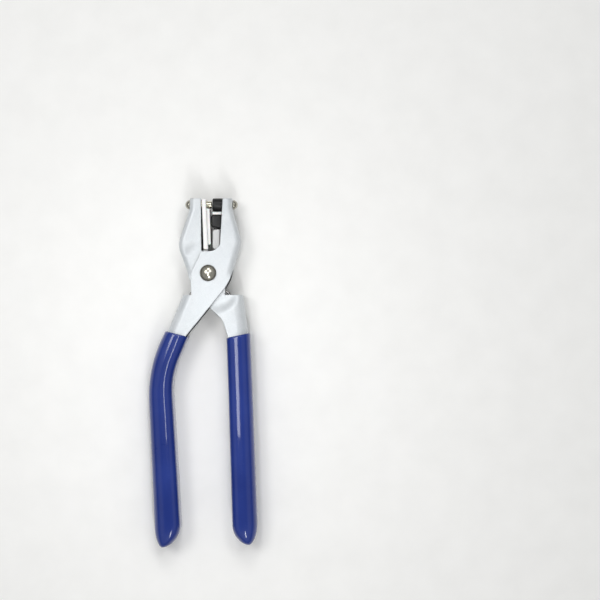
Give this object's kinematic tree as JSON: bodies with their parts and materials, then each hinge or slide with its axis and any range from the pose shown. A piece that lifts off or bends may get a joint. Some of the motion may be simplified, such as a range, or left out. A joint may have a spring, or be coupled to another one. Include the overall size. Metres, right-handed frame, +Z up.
{
  "type": "snap and grommet setting pliers",
  "caption": "Hand pliers that press snap fasteners and grommets: crossed channel levers on a rivet, sprung open, with a die in each jaw, a stripper platform and dipped handle sleeves.",
  "frame": {"origin": "centre of the pivot rivet's flat tail, on the surface that the tool lies on", "axes": "+Y from the pivot to the jaw tips, +X towards the right-hand jaw, +Z up out of the surface, along the pivot's axis"},
  "size_m": [0.0599, 0.1922, 0.0206],
  "materials": {
    "silver_paint": "satin",
    "bright_nickel": "polished",
    "plain_steel": "satin",
    "spring_steel": "oiled",
    "post_metal": "polished",
    "blue_vinyl": "glossy",
    "black_rubber": "matte",
    "white_nylon": "satin"
  },
  "bodies": {
    "outer_half": {"outer_lever": "silver_paint", "pivot_rivet": "bright_nickel", "pivot_washer": "plain_steel", "pivot_spacer": "plain_steel", "return_spring": "spring_steel", "left_grip": "blue_vinyl", "anvil_die": "plain_steel", "anvil_die_rivet": "bright_nickel", "rubber_adapter": "black_rubber", "adapter_band": "white_nylon", "adapter_strap": "black_rubber", "strap_clip": "plain_steel"},
    "inner_half": {"inner_lever": "silver_paint", "right_grip": "blue_vinyl", "post_die": "post_metal", "post_die_rivet": "bright_nickel", "platform_pin": "plain_steel", "platform_spring": "spring_steel"},
    "platform": {"platform": "white_nylon"}
  },
  "joints": [
    {"name": "jaw_pivot", "type": "hinge", "parent": "outer_half", "child": "inner_half", "pos_m": [0, 0, 0.01], "axis": [0, 0, 1], "range_deg": [0, 16], "stiffness_Nm_per_rad": 2, "springref_deg": 25.78, "deforming": ["return_spring"]},
    {"name": "platform_hinge", "type": "hinge", "parent": "inner_half", "child": "platform", "pos_m": [-0.0025, 0.0098, 0.01], "axis": [0, 0, 1], "range_deg": [-7, 0]}
  ],
  "couplings": [
    {"joint": "platform_hinge", "follows": "jaw_pivot", "ratio": -0.4375}
  ]
}
